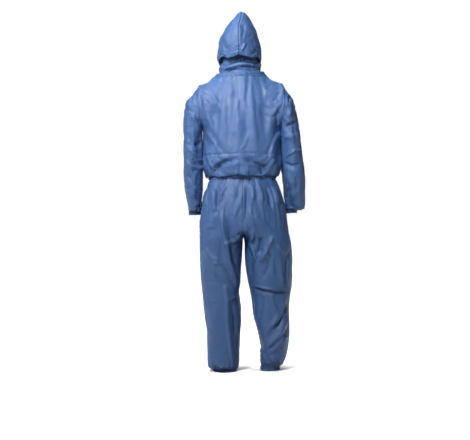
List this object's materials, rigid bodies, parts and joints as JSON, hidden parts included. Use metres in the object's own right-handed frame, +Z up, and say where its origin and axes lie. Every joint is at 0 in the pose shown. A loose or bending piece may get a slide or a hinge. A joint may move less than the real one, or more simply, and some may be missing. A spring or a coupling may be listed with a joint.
{
  "type": "beekeeping suit",
  "caption": "Hooded two-piece beekeeping suit in blue cloth: zip-front jacket with elastic hem and cuffs, over elastic-waist trousers with elastic ankles.",
  "frame": {"origin": "bottom centre of the bounding box, level with the trouser hems", "axes": "+Z up, the wearer faces -Y, the wearer's left is +X"},
  "size_m": [0.594, 0.2932, 1.748],
  "materials": {
    "suit_cloth": "plain-woven blue work cloth with a slight sheen",
    "casing_cloth": "the same blue cloth, gathered over elastic",
    "elastic": "white woven elastic",
    "hanger_tape": "dark blue woven tape",
    "label": "white satin label, blank",
    "zip_tape": "dark blue woven zip tape",
    "zip_plastic": "moulded dark blue plastic",
    "zip_metal": "blue painted metal",
    "loop_tape": "dark blue loop tape",
    "hook_tape": "dark blue hook tape"
  },
  "bodies": {
    "trousers": {"seat_front_left": "suit_cloth", "seat_front_right": "suit_cloth", "seat_back_left": "suit_cloth", "seat_back_right": "suit_cloth", "waist_casing": "casing_cloth", "waist_elastic": "elastic"},
    "leg_left": {"leg_front_left": "suit_cloth", "leg_back_left": "suit_cloth", "ankle_left_casing": "casing_cloth", "ankle_left_elastic": "elastic"},
    "leg_right": {"leg_front_right": "suit_cloth", "leg_back_right": "suit_cloth", "ankle_right_casing": "casing_cloth", "ankle_right_elastic": "elastic"},
    "jacket": {"jacket_back": "suit_cloth", "jacket_lower_back": "suit_cloth", "jacket_front_left": "suit_cloth", "jacket_front_right": "suit_cloth", "jacket_hem_casing": "casing_cloth", "jacket_hem_elastic": "elastic", "collar": "suit_cloth", "hanger_loop": "hanger_tape", "blank_label": "label", "zip_tape_left": "zip_tape", "zip_tape_right": "zip_tape", "zip_teeth_left": "zip_plastic", "zip_teeth_right": "zip_plastic", "zip_stop_left": "zip_metal", "zip_stop_right": "zip_metal", "zip_guard": "suit_cloth", "zip_box": "zip_plastic", "chest_pocket": "suit_cloth", "pocket_loop_tape": "loop_tape"},
    "sleeve_left": {"sleeve_front_left": "suit_cloth", "sleeve_back_left": "suit_cloth", "cuff_casing_left": "casing_cloth", "cuff_elastic_left": "elastic"},
    "sleeve_right": {"sleeve_front_right": "suit_cloth", "sleeve_back_right": "suit_cloth", "cuff_casing_right": "casing_cloth", "cuff_elastic_right": "elastic"},
    "hood": {"hood_left": "suit_cloth", "hood_right": "suit_cloth", "hood_face_casing": "casing_cloth", "hood_face_elastic": "elastic"},
    "zip_slider": {"zip_slider": "zip_metal"},
    "zip_pull": {"zip_pull": "zip_metal"},
    "pocket_flap": {"pocket_flap": "suit_cloth", "pocket_hook_tape": "hook_tape"}
  },
  "joints": [
    {"name": "jacket_lift", "type": "slide", "parent": "trousers", "child": "jacket", "axis": [0, 0, 1], "range_m": [0, 0.35]},
    {"name": "shoulder_left", "type": "hinge", "parent": "jacket", "child": "sleeve_left", "pos_m": [0.205, 0, 1.285], "axis": [-0.994, 0, 0.1097], "range_deg": [0, 80]},
    {"name": "shoulder_right", "type": "hinge", "parent": "jacket", "child": "sleeve_right", "pos_m": [-0.205, 0, 1.285], "axis": [-0.994, 0, -0.1097], "range_deg": [0, 80]},
    {"name": "hood_tip_back", "type": "hinge", "parent": "jacket", "child": "hood", "pos_m": [0, 0.1, 1.537], "axis": [-1, 0, 0], "range_deg": [0, 95]},
    {"name": "leg_left_swing", "type": "hinge", "parent": "trousers", "child": "leg_left", "pos_m": [0, 0.005, 0.825], "axis": [-1, 0, 0], "range_deg": [-20, 50]},
    {"name": "leg_right_swing", "type": "hinge", "parent": "trousers", "child": "leg_right", "pos_m": [0, 0.005, 0.825], "axis": [-1, 0, 0], "range_deg": [-20, 50]},
    {"name": "zip_travel", "type": "slide", "parent": "jacket", "child": "zip_slider", "axis": [0, -0.0748, -0.9972], "range_m": [0, 0.47]},
    {"name": "zip_pull_hinge", "type": "hinge", "parent": "zip_slider", "child": "zip_pull", "pos_m": [0, -0.09971, 1.44931], "axis": [-1, 0, 0], "range_deg": [0, 150]},
    {"name": "pocket_flap_hinge", "type": "hinge", "parent": "jacket", "child": "pocket_flap", "pos_m": [0.0422, -0.11253, 1.258], "axis": [-0.9898, -0.1425, 0], "range_deg": [0, 120]}
  ]
}
